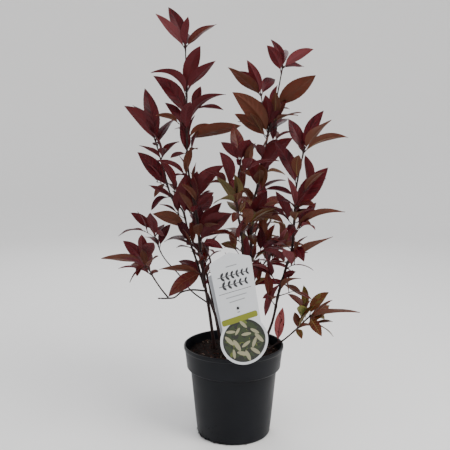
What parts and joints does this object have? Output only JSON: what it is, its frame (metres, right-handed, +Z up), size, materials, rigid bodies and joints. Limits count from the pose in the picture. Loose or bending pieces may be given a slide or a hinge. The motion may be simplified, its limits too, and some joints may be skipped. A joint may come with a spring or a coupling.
{
  "type": "potted sweetspire shrub",
  "caption": "Young shrub with thin arching canes and long wine-red autumn leaves in open groups, in a black plastic nursery pot with a plain white plant tag at the rim.",
  "frame": {"origin": "centre of the flat underside of the pot", "axes": "+Z up along the pot's axis and the plant's height; the plant tag is at the front, on the -Y side; +X is to the right of someone who looks at the front"},
  "size_m": [0.41, 0.302, 0.72],
  "materials": {
    "pot_plastic": "satin black moulded plastic, a little dusty",
    "compost": "dark moist compost with bits of bark and dead leaf",
    "tag_plastic": "smooth white printed plastic sheet",
    "pin_plastic": "black plastic",
    "bark": "dark smooth young bark with fine pores",
    "wine_leaves": "satin wine-red autumn leaf",
    "brown_leaves": "satin red-brown autumn leaf",
    "olive_leaves": "satin olive-brown autumn leaf, a few still green"
  },
  "bodies": {
    "root": {"pot": "pot_plastic", "soil": "compost", "tag_front": "tag_plastic", "tag_stake": "tag_plastic", "tag_pin": "pin_plastic", "tall_left_cane": "bark", "tall_left_prop": "bark", "left_side_cane": "bark", "low_left_upper_bough": "bark", "low_left_bough": "bark", "low_left_shoot": "bark", "tall_right_cane": "bark", "right_upper_bough": "bark", "middle_cane": "bark", "right_cane": "bark", "low_right_bough": "bark", "back_left_cane": "bark", "back_right_cane": "bark", "back_side_bough": "bark", "left_tip_leaves": "wine_leaves", "left_upper_leaves": "wine_leaves", "left_middle_leaves": "wine_leaves", "left_node_leaves": "wine_leaves", "left_lower_leaves": "wine_leaves", "side_top_leaves": "wine_leaves", "side_lower_leaves": "wine_leaves", "side_base_leaves": "wine_leaves", "front_left_leaves": "brown_leaves", "hanging_leaves": "brown_leaves", "low_left_upper_leaves": "wine_leaves", "low_left_leaves": "brown_leaves", "middle_upper_leaves": "wine_leaves", "middle_lower_leaves": "olive_leaves", "right_tip_leaves": "wine_leaves", "right_upper_leaves": "wine_leaves", "right_middle_leaves": "brown_leaves", "right_inner_leaves": "brown_leaves", "core_leaves": "olive_leaves", "right_shoot_tip_leaves": "brown_leaves", "right_shoot_upper_leaves": "olive_leaves", "right_shoot_lower_leaves": "brown_leaves", "right_side_leaves": "wine_leaves", "right_low_leaves": "wine_leaves", "low_right_leaves": "olive_leaves", "back_left_leaves": "wine_leaves", "back_right_leaves": "brown_leaves", "back_side_leaves": "wine_leaves"}
  },
  "joints": []
}
